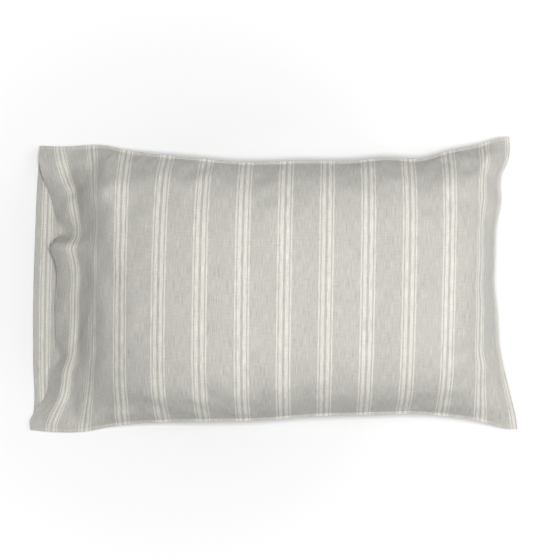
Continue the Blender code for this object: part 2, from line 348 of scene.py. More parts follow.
# The closed end and the two mouth edges, from the lower seam to the upper
CLOSED_END = (
    (0.4257, -0.2512, 0.010), (0.4237, -0.2353, 0.012), (0.4140, -0.1965, 0.020),
    (0.4028, -0.1544, 0.026), (0.3919, -0.1126, 0.030), (0.3861, -0.0432, 0.035),
    (0.3808, 0.0088, 0.036), (0.3825, 0.0399, 0.036), (0.3825, 0.0693, 0.036),
    (0.3844, 0.1057, 0.035), (0.3897, 0.1299, 0.034), (0.3933, 0.1473, 0.033),
    (0.3928, 0.1717, 0.030), (0.3956, 0.1926, 0.028), (0.4068, 0.2138, 0.022),
    (0.4117, 0.2350, 0.017), (0.4112, 0.2579, 0.014),
)
BACK_MOUTH = (
    (-0.4236, -0.2535, 0.0030), (-0.4190, -0.2250, 0.0015), (-0.4197, -0.1300, 0.0010),
    (-0.4195, -0.0200, 0.0010), (-0.4165, 0.0800, 0.0010), (-0.4125, 0.1750, 0.0012),
    (-0.4072, 0.2430, 0.0040),
)


def ease(share):
    share = np.clip(share, 0.0, 1.0)
    return share * share * (3 - 2 * share)


def smooth_table(rows):
    """A smooth curve through rows of (distance, values), as a function of distance."""
    rows = np.array(rows)
    knots, values = rows[:, 0], rows[:, 1:]
    slopes = np.gradient(values, knots, axis=0)

    def at(distance):
        i = np.clip(np.searchsorted(knots, distance) - 1, 0, len(knots) - 2)
        run = (knots[i + 1] - knots[i])[..., None]
        s = (distance - knots[i])[..., None] / run
        start, finish = values[i], values[i + 1]
        hold = start * (1 + 2 * s) * (1 - s) ** 2 + finish * s * s * (3 - 2 * s)
        return hold + run * s * (1 - s) * (slopes[i] * (1 - s) - slopes[i + 1] * s)

    return at


def edge_curve(points):
    """A cloth edge through points, as a function of distance across the cloth."""
    points = np.array(points)
    reach = np.append(0.0, np.cumsum(np.linalg.norm(np.diff(points, axis=0), axis=1)))
    across = (reach / reach[-1] - 0.5) * CASE_WIDTH
    return smooth_table(np.column_stack([across, points]))


lower_seam, upper_seam = smooth_table(LOWER_SEAM), smooth_table(UPPER_SEAM)
closed_end = edge_curve(CLOSED_END)


def bag_surface(along, across, mouth):
    """The surface that a panel's four edges span. The two ends' own waves die out
    within a hand's breadth of them."""

    def spanned(d):
        share = (across / CASE_WIDTH + 0.5)[..., None]
        return lower_seam(d) * (1 - share) + upper_seam(d) * share

    mouth_pull = np.exp(-along / 0.060)[..., None]
    end_pull = np.exp(-(CASE_LENGTH - along) / 0.048)[..., None]
    start, finish = np.zeros_like(along), np.full_like(along, CASE_LENGTH)
    return (
        spanned(along)
        + mouth_pull * (mouth(across) - spanned(start))
        + end_pull * (closed_end(across) - spanned(finish))
    )


def even_across(grid):
    """Slide each row's points along the row until they are evenly spaced."""
    spread = np.empty_like(grid)
    share = np.linspace(0.0, 1.0, grid.shape[1])
    for row, line in enumerate(grid):
        reach = np.append(0.0, np.cumsum(np.linalg.norm(np.diff(line, axis=0), axis=1)))
        for k in range(3):
            spread[row, :, k] = np.interp(share * reach[-1], reach, line[:, k])
    return spread


def panel_distances(cells):
    """Distances along and across the cloth at each point of a panel's grid."""
    return np.meshgrid(
        np.linspace(0, CASE_LENGTH, cells[0] + 1),
        np.linspace(-CASE_WIDTH / 2, CASE_WIDTH / 2, cells[1] + 1),
        indexing="ij",
    )


def normals_of(grid):
    n = np.cross(np.gradient(grid, axis=0), np.gradient(grid, axis=1))
    return n / np.linalg.norm(n, axis=2, keepdims=True)


def with_hem(grid, cloth, inward):
    """The panel with its hem: the first rows again, turned in and running back."""
    rows = round(HEM_DEPTH / CASE_LENGTH * (grid.shape[0] - 1))
    turned = grid[1 : rows + 1].copy()
    depth = HEM_GAP * (1 - np.exp(-1.3 * np.arange(1, rows + 1)))[:, None, None]
    turned += inward * normals_of(grid)[1 : rows + 1] * depth
    turned_cloth = cloth[1 : rows + 1].copy()
    turned_cloth[..., 0] = 2 * cloth[0, 0, 0] - turned_cloth[..., 0]
    return np.concatenate([turned[::-1], grid]), np.concatenate([turned_cloth[::-1], cloth])


def grid_faces(index):
    """Four-cornered faces between the points of a numbered grid."""
    faces = np.stack([index[:-1, :-1], index[1:, :-1], index[1:, 1:], index[:-1, 1:]], -1)
    return faces.reshape(-1, 4)


def shell_mesh(name, top, bottom):
    """A closed mesh of two grids of points, one above the other, and the wall between."""
    index = np.arange(top[..., 0].size).reshape(top.shape[:2])
    rim = np.concatenate([index[:, 0], index[-1, 1:], index[-2::-1, -1], index[0, -2:0:-1]])
    after = np.roll(rim, -1)
    wall = np.stack([after, rim, rim + index.size, after + index.size], -1)
    faces = grid_faces(index)
    faces = np.concatenate([faces, faces[:, ::-1] + index.size, wall])
    places = np.concatenate([top.reshape(-1, 3), bottom.reshape(-1, 3)])
    mesh = bpy.data.meshes.new(name)
    mesh.from_pydata(places.tolist(), [], faces.tolist())
    return mesh


def cloth_piece(name, grid, cloth, thickness, material):
    """A closed sheet of cloth round a grid of points. Its map "cloth" is in metres; its
    map "OFBake" lays its two faces out one above the other."""
    half = normals_of(grid) * thickness / 2
    mesh = shell_mesh(name, grid + half, grid - half)
    count = grid[..., 0].size
    loops = np.empty(len(mesh.loops), int)
    mesh.loops.foreach_get("vertex_index", loops)
    metres = cloth.reshape(-1, 2)[loops % count]
    sheet_map = (metres - metres.min(0)) / max(np.ptp(metres[:, 0]), 2.05 * np.ptp(metres[:, 1]))
    sheet_map = sheet_map * 0.99 + 0.004
    sheet_map[:, 1] += 0.5 * (loops >= count)
    for title, values in (("cloth", metres), ("OFBake", sheet_map)):
        mesh.uv_layers.new(name=title).data.foreach_set("uv", values.astype(np.float32).ravel())
    mesh.shade_smooth()
    mesh.set_sharp_from_angle(angle=math.radians(70))
    mesh.materials.append(material)
    piece = bpy.data.objects.new(name, mesh)
    bpy.context.scene.collection.objects.link(piece)
    return piece


def back_surface(along, across):
    """The back panel lies flat, and rises to its seams over the outer 38% of its half
    width and the last 7% of its length."""
    grid = bag_surface(along, across, edge_curve(BACK_MOUTH))
    grid[..., 2] -= PANEL_GAP / 2
    side_rise = np.clip((np.abs(across) / (CASE_WIDTH / 2) - 0.62) / 0.38, 0, 1) ** 2
    end_rise = np.clip((along / CASE_LENGTH - 0.93) / 0.07, 0, 1) ** 1.6
    rise = 1 - (1 - side_rise) * (1 - end_rise)
    rest = CLOTH_THICKNESS / 2 + TABLE_CLEARANCE
    grid[..., 2] = rest + (grid[..., 2] - rest) * rise
    return even_across(grid)


along, across = panel_distances(BACK_CELLS)
back_grid = back_surface(along, across)
back_sheet, back_cloth = with_hem(
    back_grid, np.stack([along + BACK_FIRST_GROUP, across], -1), 1.0)
back_panel = cloth_piece("case_back_linen", back_sheet, back_cloth, CLOTH_THICKNESS, linen)
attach(back_panel, "pillowcase")
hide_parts("case_back_panel")

# ---------------------------------------------------------------------------
# The front panel: the same linen drawn over the pillow. It lies flat at the mouth,
# climbs steeply over the pillow's end, and falls to the seams in a narrow lip. Its
# small wrinkles come from letting it settle as cloth with its seams held.

FRONT_CELLS = (250, 146)
SETTLE_CELLS = (176, 102)
SETTLE_BLOCKS = (16, 17)
SETTLE_FRAMES = 20
SETTLE_PULL = 0.03
SETTLE_CAP = 0.012
CLOTH_GIVE = 0.015
FRONT_SETTLED_SHARE = 0.45
FRONT_FIRST_GROUP = 0.045
SEAM_LIP = 0.005
FOLD_LINE = 0.068
CROWN_SHIFT = 0.22
MOUTH_SHOULDER = 0.64
MOUTH_HALF = 0.4
MOUTH_FOLD_RISE = 0.0190
MOUTH_FOLD_PULL = 0.0020
WAVE_LENGTH = 0.055
WAVE_HEIGHT, FLANK_WAVE_HEIGHT = 0.0004, 0.0007
FLANK_TOP, FLANK_DEPTH = 0.100, 0.045
FRONT_CLEARANCE = 0.0021
SEAM_BAND = 0.030
PRESSED_FOLD_RISE, PRESSED_FOLD_REACH = 0.0005, 0.004

FRONT_MOUTH = (
    (-0.4236, -0.2535, 0.003), (-0.4248, -0.2395, 0.003), (-0.4177, -0.2237, 0.004),
    (-0.4026, -0.2043, 0.006), (-0.3951, -0.1921, 0.006), (-0.3926, -0.1764, 0.006),
    (-0.3912, -0.1519, 0.006), (-0.3860, -0.1380, 0.006), (-0.3802, -0.1240, 0.006),
    (-0.3789, -0.1048, 0.007), (-0.3788, -0.0262, 0.008), (-0.3791, 0.0402, 0.008),
    (-0.3838, 0.0541, 0.010), (-0.3857, 0.0628, 0.011), (-0.3820, 0.0716, 0.010),
    (-0.3752, 0.0890, 0.009), (-0.3762, 0.1100, 0.008), (-0.3814, 0.1327, 0.008),
    (-0.3866, 0.1484, 0.008), (-0.3905, 0.1641, 0.010), (-0.3960, 0.1763, 0.014),
    (-0.4015, 0.1903, 0.017), (-0.4070, 0.2149, 0.015), (-0.4072, 0.2430, 0.004),
)
# The front's middle line: distance along the cloth, x and height
MIDDLE_LINE = (
    (0.000, -0.3789, 0.0040), (0.018, -0.3625, 0.0140), (0.0325, -0.3521, 0.0205),
    (0.045, -0.3437, 0.0245), (0.0575, -0.3365, 0.0285), (0.080, -0.3255, 0.0415),
    (0.1025, -0.3130, 0.0575), (0.115, -0.3073, 0.0675), (0.1275, -0.3012, 0.0760),
    (0.150, -0.2868, 0.0900), (0.1725, -0.2703, 0.1000), (0.185, -0.2590, 0.1055),
    (0.1975, -0.2472, 0.1105), (0.220, -0.2265, 0.1185),
    (0.255, -0.1925, 0.1290),
    (0.325, -0.1225, 0.1415), (0.395, -0.0515, 0.1465),
    (0.465, 0.0189, 0.1485), (0.535, 0.0887, 0.1485), (0.605, 0.1587, 0.1485),
    (0.675, 0.2280, 0.1475), (0.745, 0.2950, 0.1410), (0.784, 0.3290, 0.1240),
    (0.815, 0.3520, 0.1010), (0.854, 0.3725, 0.0680), (0.885, 0.3815, 0.0360),
)
# The slack cloth's swellings and hollows at the mouth, as rise, middle, two half widths
# and turn: the hollow above the fold, the roll along the edge in two lengths with the
# pinch between them, a dimple, and the upper corner's dent and swelling
MOUTH_MOUNDS = (
    (-0.0060, (-0.366, 0.096), (0.017, 0.015), 0.0),
    (0.0050, (-0.364, -0.020), (0.013, 0.050), 0.0),
    (-0.0035, (-0.372, -0.128), (0.018, 0.010), 0.6),
    (0.0060, (-0.366, -0.185), (0.012, 0.050), -0.35),
    (-0.0030, (-0.3175, 0.003), (0.0060, 0.0085), 0.5),
    (-0.0040, (-0.341, 0.165), (0.020, 0.009), 0.5),
    (0.0130, (-0.306, 0.163), (0.034, 0.026), 0.0),
)
# The ridges that run out into the two ears at the closed end, in the same way
EAR_RIDGES = (
    (0.012, (0.374, 0.214), (0.020, 0.034), -0.3),
    (0.007, (0.384, -0.213), (0.018, 0.032), 0.3),
)


def mound(grid, centre, size, turn):
    """A soft mound over a grid, 1 at its centre; size is its two half widths."""
    x, y = grid[..., 0] - centre[0], grid[..., 1] - centre[1]
    c, s = math.cos(turn), math.sin(turn)
    return np.exp(-(((c * x + s * y) / size[0]) ** 2) - ((c * y - s * x) / size[1]) ** 2)


def slow_waves(along, across, seed, length, count=14):
    """Smooth unevenness of about unit height over a cloth, its waves about length long."""
    rng = np.random.default_rng(seed)
    total = np.zeros_like(along)
    for _ in range(count):
        heading, size = rng.uniform(0, math.pi), length * rng.uniform(0.6, 1.6)
        phase = rng.uniform(0, 2 * math.pi)
        run = along * math.cos(heading) + across * math.sin(heading)
        total += np.sin(2 * math.pi * run / size + phase)
    return total / math.sqrt(count / 2)


def front_surface(along, across):
    """The front panel fills out from its four edges to the height of its middle line,
    highest a little towards the lower seam, and falls to each seam in its own way."""
    grid = bag_surface(along, across, edge_curve(FRONT_MOUTH))
    grid[..., 2] += PANEL_GAP / 2
    spine = bag_surface(along, np.zeros_like(across), edge_curve(FRONT_MOUTH))
    crown = smooth_table(MIDDLE_LINE)(along)
    side = np.clip(across / (CASE_WIDTH / 2 - SEAM_LIP), -1, 1)
    middle = ease((along - 0.08) / 0.16) * ease((CASE_LENGTH - 0.03 - along) / 0.12)
    ridge = -CROWN_SHIFT * middle
    up = np.clip((side - ridge) / (1 - ridge), 0, 1)
    down = np.clip((ridge - side) / (1 + ridge), 0, 1)
    full = 1 - (0.42 * up**2.6 + 0.58 * up**9) - (0.32 * down**2 + 0.68 * down**5.5)
    ends = 1 - np.abs(side) ** np.where(along < MOUTH_HALF, 2.3, 2.4)
    shoulder = 1 - np.clip((side - MOUTH_SHOULDER) / (1 - MOUTH_SHOULDER), 0, 1) ** 1.15
    ends = np.where((along < MOUTH_HALF) & (side > 0), shoulder, ends)
    hold = middle * full + (1 - middle) * ends
    grid[..., 0] += hold * (crown[..., 0] - spine[..., 0])
    grid[..., 2] += hold * (crown[..., 1] - spine[..., 2])
    return even_across(grid)


def mouth_folds(grid):
    """The slack cloth at the mouth: a fold that runs in from the edge, a hollow above
    it, a roll along the edge and a pinch towards the lower corner."""
    x, y = grid[..., 0], grid[..., 1]
    below = FOLD_LINE - y - 0.10 * (x + 0.36)
    near = np.exp(-(((x + 0.365) / 0.042) ** 2))
    steep = np.where(below > 0, np.exp(-((below / 0.048) ** 2)), np.exp(-((below / 0.0125) ** 2)))
    lift = MOUTH_FOLD_RISE * steep * near
    for rise, centre, size, turn in MOUTH_MOUNDS:
        lift += rise * mound(grid, centre, size, turn)
    grid[..., 2] += lift
    pull = MOUTH_FOLD_PULL * near * np.exp(-(((below - 0.002) / 0.011) ** 2))
    grid[..., 0] -= pull * (x < -0.30)


MAP_CELL = 0.0025
MAP_CORNER = (-0.46, -0.30)
MAP_SHAPE = (380, 240)


def height_map(grid, top):
    """Height of a surface over x and y, as a function; top picks the highest layer."""
    fine = grid
    for axis in (0, 1):
        fine = np.moveaxis(fine, axis, 0)
        steps = [fine[:-1] * (1 - k / 4) + fine[1:] * k / 4 for k in range(4)]
        fine = np.moveaxis(np.concatenate(steps), 0, axis)
    index = ((fine[..., :2] - np.array(MAP_CORNER)) / MAP_CELL).astype(int).reshape(-1, 2)
    missing = -1.0 if top else 1.0
    heights = np.full(MAP_SHAPE, missing)
    gather = np.maximum if top else np.minimum
    gather.at(heights, (index[:, 0], index[:, 1]), fine[..., 2].ravel())
    for _ in range(3):
        for shift, axis in ((1, 0), (-1, 0), (1, 1), (-1, 1)):
            heights = np.where(heights == missing, np.roll(heights, shift, axis), heights)

    def at(x, y):
        u, v = (x - MAP_CORNER[0]) / MAP_CELL - 0.5, (y - MAP_CORNER[1]) / MAP_CELL - 0.5
        i = np.clip(u.astype(int), 0, MAP_SHAPE[0] - 2)
        j = np.clip(v.astype(int), 0, MAP_SHAPE[1] - 2)
        a, b = u - i, v - j
        return (
            heights[i, j] * (1 - a) * (1 - b) + heights[i + 1, j] * a * (1 - b)
            + heights[i, j + 1] * (1 - a) * b + heights[i + 1, j + 1] * a * b
        )

    return at


def settled(grid, held):
    """Where a sheet's points come to rest when it settles as cloth that is a little
    larger than the surface it lies on, as how far each one moves. Held points stay."""
    index = np.arange(grid[..., 0].size).reshape(grid.shape[:2])
    mesh = bpy.data.meshes.new("settling")
    mesh.from_pydata(grid.reshape(-1, 3).tolist(), [], grid_faces(index).tolist())
    item = bpy.data.objects.new("settling", mesh)
    bpy.context.scene.collection.objects.link(item)
    group = item.vertex_groups.new(name="held")
    group.add(index.ravel().tolist(), SETTLE_PULL, "REPLACE")
    group.add(index[held].tolist(), 1.0, "REPLACE")
    cloth = item.modifiers.new("cloth", "CLOTH")
    cloth.settings.vertex_group_mass = "held"
    cloth.settings.shrink_min = -CLOTH_GIVE
    cloth.settings.quality = 6
    cloth.settings.mass = 0.2
    cloth.settings.air_damping = 6.0
    cloth.settings.tension_stiffness = 25.0
    cloth.settings.compression_stiffness = 25.0
    cloth.settings.shear_stiffness = 3.0
    cloth.settings.bending_stiffness = 5.0
    cloth.settings.effector_weights.gravity = 0.0
    cloth.point_cache.frame_end = SETTLE_FRAMES
    for moment in range(1, SETTLE_FRAMES + 1):
        bpy.context.scene.frame_set(moment)
    made = item.evaluated_get(bpy.context.evaluated_depsgraph_get())
    places = np.empty(grid.size)
    made.data.vertices.foreach_get("co", places)
    bpy.data.objects.remove(item)
    bpy.context.scene.frame_set(1)
    move = places.reshape(grid.shape) - grid
    size = np.linalg.norm(move, axis=2, keepdims=True)
    return move * np.minimum(1, SETTLE_CAP / np.maximum(size, 1e-9))


def resampled(values, shape):
    """A grid of vectors read off at another number of rows and columns."""
    for axis in (0, 1):
        place = np.linspace(0, values.shape[axis] - 1, shape[axis])
        low = np.minimum(place.astype(int), values.shape[axis] - 2)
        share = (place - low).reshape((-1, 1, 1) if axis == 0 else (1, -1, 1))
        values = (np.take(values, low, axis) * (1 - share)
                  + np.take(values, low + 1, axis) * share)
    return values


along, across = panel_distances(FRONT_CELLS)
front_grid = front_surface(along, across)
mouth_folds(front_grid)
coarse_along, coarse_across = panel_distances(SETTLE_CELLS)
coarse = front_surface(coarse_along, coarse_across)
mouth_folds(coarse)
to_seam = np.minimum(CASE_WIDTH / 2 - np.abs(coarse_across), CASE_LENGTH - coarse_along)
move = settled(coarse, to_seam < SEAM_LIP + 0.001)
# The broad swell is taken off, block by block, so that only the wrinkles are kept
depth, breadth = SETTLE_CELLS[0] // SETTLE_BLOCKS[0], SETTLE_CELLS[1] // SETTLE_BLOCKS[1]
blocks = move[:-1, :-1].reshape(SETTLE_BLOCKS[0], depth, SETTLE_BLOCKS[1], breadth, 3)
move -= resampled(blocks.mean((1, 3)), move.shape)
front_grid += FRONT_SETTLED_SHARE * resampled(move, front_grid.shape)
edge_hold = ease((CASE_WIDTH / 2 - np.abs(across)) / SEAM_BAND)
edge_hold = edge_hold * ease((CASE_LENGTH - along) / SEAM_BAND)
flank = 1 - ease((front_grid[..., 2] - FLANK_TOP) / FLANK_DEPTH)
wave_height = WAVE_HEIGHT + FLANK_WAVE_HEIGHT * flank
front_grid[..., 2] += edge_hold * wave_height * slow_waves(along, across, 4, WAVE_LENGTH)
for rise, centre, size, turn in EAR_RIDGES:
    front_grid[..., 2] += edge_hold * rise * mound(front_grid, centre, size, turn)
fold_ridge = np.exp(-(((across - PRESSED_FOLD) / PRESSED_FOLD_REACH) ** 2))
front_grid[..., 2] += PRESSED_FOLD_RISE * edge_hold * fold_ridge
back_height = height_map(back_sheet, True)
clear = np.minimum(edge_hold * 3, 1) * (FRONT_CLEARANCE - PANEL_GAP) + PANEL_GAP
lowest = back_height(front_grid[..., 0], front_grid[..., 1]) + clear
raised = np.maximum(front_grid[..., 2], lowest)
front_grid[..., 2] = np.where(edge_hold > 0, raised, front_grid[..., 2])
front_sheet, front_cloth = with_hem(
    front_grid, np.stack([along - FRONT_FIRST_GROUP, across], -1), -1.0)
front_panel = cloth_piece("case_front_linen", front_sheet, front_cloth, CLOTH_THICKNESS, linen)
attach(front_panel, "pillowcase")
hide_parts("case_front_panel")

# ---------------------------------------------------------------------------
# The case's sewing: a row of lockstitches holds each hem down, and another runs along
# the lip of both side seams and the closed end.

STITCH_LENGTH = 0.0026
STITCH_PITCH = 0.0032
THREAD_RADIUS = 0.00022
THREAD_COLOUR = (0.66, 0.64, 0.59)
STITCH_DIP, STITCH_ARCH = -0.9, 1.7
HEM_STITCH_INSET = 0.002
LIP_STITCH_INSET = 0.0012


def fibre_fleck_group():
    """The fleck of spun or loose fibre: its relief, and a tone from the darkest up."""
    group = bpy.data.node_groups.new("fibre_fleck", "ShaderNodeTree")
    for title, kind in (("Place", "NodeSocketVector"), ("Lumps", "NodeSocketVector"),
                        ("Detail", "NodeSocketFloat"), ("Darkest", "NodeSocketFloat"),
                        ("Contrast", "NodeSocketFloat")):
        group.interface.new_socket(title, in_out="INPUT", socket_type=kind)
    for title in ("Tone", "Relief"):
        group.interface.new_socket(title, in_out="OUTPUT", socket_type="NodeSocketFloat")
    n = Nodes(group)
    given, result = n.add("NodeGroupInput").outputs, n.add("NodeGroupOutput").inputs
    fleck = n.noise(given["Place"], given["Detail"], given["Lumps"])
    n.join(fleck, result["Relief"])
    n.join(n.maths("MULTIPLY_ADD", fleck, given["Contrast"], given["Darkest"]), result["Tone"])
    return group


fibre_fleck = fibre_fleck_group()


def fibrous_material(name, colour, roughness, lumps, detail, darkest, contrast, strength, depth):
    """Spun or loose fibre, with so many lumps of fleck a metre."""
    material = new_material(name, colour, roughness)
    n = Nodes(material.node_tree)
    fleck = n.add("ShaderNodeGroup")
    fleck.node_tree = fibre_fleck
    for title, value in (("Lumps", (lumps, lumps, lumps)), ("Detail", detail),
                         ("Darkest", darkest), ("Contrast", contrast)):
        fleck.inputs[title].default_value = value
    n.join(n.add("ShaderNodeTexCoord").outputs["Object"], fleck.inputs["Place"])
    n.join(n.scaled(colour, fleck.outputs["Tone"]), shader_of(material).inputs["Base Color"])
    relief = n.bumps(fleck.outputs["Relief"], strength, depth)
    n.join(relief, shader_of(material).inputs["Normal"])
    return material


def stitch_row_tree():
    """Stitches along an edge line, each an arched thread that dips in at both ends."""
    tree = bpy.data.node_groups.new("stitch_row", "GeometryNodeTree")
    sockets = {}
    for title, kind in (("Line", "Geometry"), ("Pitch", "Float"), ("Length", "Float"),
                        ("Radius", "Float"), ("Thread", "Material")):
        socket = tree.interface.new_socket(title, in_out="INPUT", socket_type="NodeSocket" + kind)
        sockets[title] = socket.identifier
    tree.interface.new_socket("Stitches", in_out="OUTPUT", socket_type="NodeSocketGeometry")
    n = Nodes(tree)
    given, result = n.add("NodeGroupInput").outputs, n.add("NodeGroupOutput")
    line = n.add("GeometryNodeMeshToCurve")
    n.join(given["Line"], line.inputs["Mesh"])
    spaced = n.add("GeometryNodeResampleCurve", mode="LENGTH")
    n.join(line.outputs[0], spaced.inputs["Curve"])
    n.join(given["Pitch"], spaced.inputs["Length"])
    arch = n.add("GeometryNodeCurveQuadraticBezier")
    arch.inputs["Resolution"].default_value = 6

    def spot(across, up):
        node = n.add("ShaderNodeCombineXYZ")
        for axis, source, share in ((0, "Length", across), (2, "Radius", up)):
            n.join(n.maths("MULTIPLY", given[source], share), node.inputs[axis])
        return node.outputs[0]

    n.join(spot(-0.5, STITCH_DIP), arch.inputs["Start"])
    n.join(spot(0.0, STITCH_ARCH), arch.inputs["Middle"])
    n.join(spot(0.5, STITCH_DIP), arch.inputs["End"])
    ring = n.add("GeometryNodeCurvePrimitiveCircle", mode="RADIUS")
    ring.inputs["Resolution"].default_value = 6
    n.join(given["Radius"], ring.inputs["Radius"])
    thread = n.add("GeometryNodeCurveToMesh")
    n.join(arch.outputs[0], thread.inputs["Curve"])
    n.join(ring.outputs[0], thread.inputs["Profile Curve"])
    thread.inputs["Fill Caps"].default_value = True
    turn = n.add("FunctionNodeAlignRotationToVector", axis="X")
    n.join(n.add("GeometryNodeInputTangent").outputs[0], turn.inputs["Vector"])
    placed = n.add("GeometryNodeInstanceOnPoints")
    n.join(spaced.outputs[0], placed.inputs["Points"])
    n.join(thread.outputs[0], placed.inputs["Instance"])
    n.join(turn.outputs[0], placed.inputs["Rotation"])
    solid = n.add("GeometryNodeRealizeInstances")
    n.join(placed.outputs[0], solid.inputs[0])
    smooth = n.add("GeometryNodeSetShadeSmooth")
    n.join(solid.outputs[0], smooth.inputs[0])
    coloured = n.add("GeometryNodeSetMaterial")
    n.join(smooth.outputs[0], coloured.inputs[0])
    n.join(given["Thread"], coloured.inputs["Material"])
    n.join(coloured.outputs[0], result.inputs[0])
    return tree, sockets


def made_mesh(maker, name):
    """A plain object of what a generator object's modifiers make; the generator goes."""
    mesh = bpy.data.meshes.new_from_object(
        maker.evaluated_get(bpy.context.evaluated_depsgraph_get()))
    bpy.data.objects.remove(maker)
    piece = bpy.data.objects.new(name, mesh)
    bpy.context.scene.collection.objects.link(piece)
    return piece


def stitch_row(name, line, thread, node):
    """The stitches along a line of points, sewn to the case."""
    mesh = bpy.data.meshes.new(name + "_line")
    mesh.from_pydata(line.tolist(), [(k, k + 1) for k in range(len(line) - 1)], [])
    maker = bpy.data.objects.new(name + "_line", mesh)
    bpy.context.scene.collection.objects.link(maker)
    sewing = maker.modifiers.new("sewing", "NODES")
    sewing.node_group = stitch_tree
    for title, value in (("Pitch", STITCH_PITCH), ("Length", STITCH_LENGTH),
                         ("Radius", THREAD_RADIUS), ("Thread", thread)):
        sewing[stitch_sockets[title]] = value
    row = made_mesh(maker, name)
    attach(row, "pillowcase")
    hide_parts(node)
    return row


def line_between(grid, axis, place):
    """The line across a grid at a fractional index."""
    low = int(place)
    lines = np.take(grid, [low, low + 1], axis)
    return np.take(lines, 0, axis) * (low + 1 - place) + np.take(lines, 1, axis) * (place - low)


sewing_thread = fibrous_material("sewing_thread", THREAD_COLOUR, roughness=0.6, lumps=2500.0,
                                 detail=2.0, darkest=0.85, contrast=0.30, strength=0.3,
                                 depth=0.0001)
stitch_tree, stitch_sockets = stitch_row_tree()
seat = CLOTH_THICKNESS / 2 + 0.4 * THREAD_RADIUS
front_top = front_grid + normals_of(front_grid) * seat
back_top = back_sheet - normals_of(back_sheet) * seat
hem_place = (HEM_DEPTH - HEM_STITCH_INSET) / CASE_LENGTH * FRONT_CELLS[0]
lip_place = (SEAM_LIP - LIP_STITCH_INSET) / CASE_WIDTH * FRONT_CELLS[1]
end_place = FRONT_CELLS[0] - (SEAM_LIP - LIP_STITCH_INSET) / CASE_LENGTH * FRONT_CELLS[0]
stitch_lines = {
    "front_hem": line_between(front_top, 0, hem_place)[2:-2],
    "back_hem": line_between(back_top, 0, 0.5)[2:-2],
    "lower_seam": line_between(front_top, 1, lip_place)[1:],
    "upper_seam": line_between(front_top, 1, FRONT_CELLS[1] - lip_place)[1:],
    "end_seam": line_between(front_top, 0, end_place)[2:-2],
}
case_threads = [stitch_row(seam + "_stitches", line, sewing_thread, "case_" + seam + "_thread")
                for seam, line in stitch_lines.items()]

# ---------------------------------------------------------------------------
# The case's care label: a blank woven tab caught in the lower seam just inside the
# mouth, lying on the back panel.

LABEL_COLOUR = (0.78, 0.77, 0.74)
LABEL_THICKNESS = 0.0003
CARE_LABEL_LENGTH = 0.036
CARE_LABEL_WIDTH = 0.024
CARE_LABEL_CORNER = (-0.384, -0.2505)
CARE_LABEL_LIFT, CARE_LABEL_CURL = 0.0007, 0.0008

label_cloth, n, tone = woven_material("blank_label", LABEL_COLOUR, roughness=0.5,
                                      spacing=0.00035, slub=0.25, relief_strength=0.25)
shader_of(label_cloth).inputs["Sheen Weight"].default_value = 0.2
n.join(n.scaled(LABEL_COLOUR, tone), shader_of(label_cloth).inputs["Base Color"])

u, v = np.meshgrid(np.linspace(0, CARE_LABEL_LENGTH, 13), np.linspace(0, CARE_LABEL_WIDTH, 9),
                   indexing="ij")
label_x, label_y = CARE_LABEL_CORNER[0] + u, CARE_LABEL_CORNER[1] + v
label_z = back_height(label_x, label_y) + CARE_LABEL_LIFT
label_z += CARE_LABEL_CURL * (v / CARE_LABEL_WIDTH) ** 2
care_label = cloth_piece("case_care_label_blank", np.stack([label_x, label_y, label_z], -1),
                         np.stack([u, v], -1), LABEL_THICKNESS, label_cloth)
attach(care_label, "pillowcase")
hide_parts("case_care_label")

# Each of the case's pieces gets a mesh of its own
for piece in (front_panel, back_panel, care_label, *case_threads):
    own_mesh(piece)

# ---------------------------------------------------------------------------
# The pillow's ticking: two white cotton covers sewn together round a corded edge.
# The fibre inside rounds them up, the case holds them in, and the seam puckers them
# along the edge. They settle as cloth in the same way as the case's front.

TICKING_THICKNESS = 0.0006
TICKING_COLOUR = (0.70, 0.69, 0.665)
INSERT_CELLS = (190, 124)
INSERT_FLAT = (0.51, 0.71)
INSERT_START, INSERT_END = -0.3165, 0.3705
INSERT_EDGE_HEIGHT = 0.033
INSERT_CROWN = 0.1445
INSERT_BELLY = 0.0022
INSERT_END_BOW, INSERT_START_BOW = 0.007, 0.006
INSERT_SIDES = (-0.216, 0.214)
EDGE_INSET = 0.0125
EDGE_MOUTH_DIP = 0.014
EDGE_CORNER_DIP = 0.011
EDGE_CROWDING = (1.25, 1.2)
ROOM_UNDER_FRONT = 0.0022
ROOM_OVER_BACK = 0.0012
ROOM_SOFTNESS = 0.004
TOP_PUCKER_DEPTH = 0.0035
BELLY_PUCKER_DEPTH = 0.0020
TOP_LUMP_DEPTH = 0.0012
COVER_CLEARANCE = 0.0001
SEWN_FROM = 0.985

ticking, n, tone = woven_material("white_ticking", TICKING_COLOUR, roughness=0.75,
                                  spacing=0.0004, slub=0.35, relief_strength=0.3)
shader_of(ticking).inputs["Sheen Weight"].default_value = 0.1
n.join(n.scaled(TICKING_COLOUR, tone), shader_of(ticking).inputs["Base Color"])


def insert_plan(share_along, share_across):
    """x and y of a point of the insert; the shares run from -1 to 1."""
    ends = np.where(share_along > 0, INSERT_END - INSERT_END_BOW * (1 - share_across**2),
                    INSERT_START + INSERT_START_BOW * (1 - share_across**2))
    middle = (INSERT_START + INSERT_END) / 2
    x = middle + np.abs(share_along) * (ends - middle)
    up = np.interp(x, [row[1] for row in UPPER_SEAM], [row[2] for row in UPPER_SEAM])
    low = np.interp(x, [row[1] for row in LOWER_SEAM], [row[2] for row in LOWER_SEAM])
    low = np.maximum(low + EDGE_INSET, INSERT_SIDES[0])
    up = np.minimum(up - EDGE_INSET, INSERT_SIDES[1])
    return x, (up + low) / 2 + share_across * (up - low) / 2


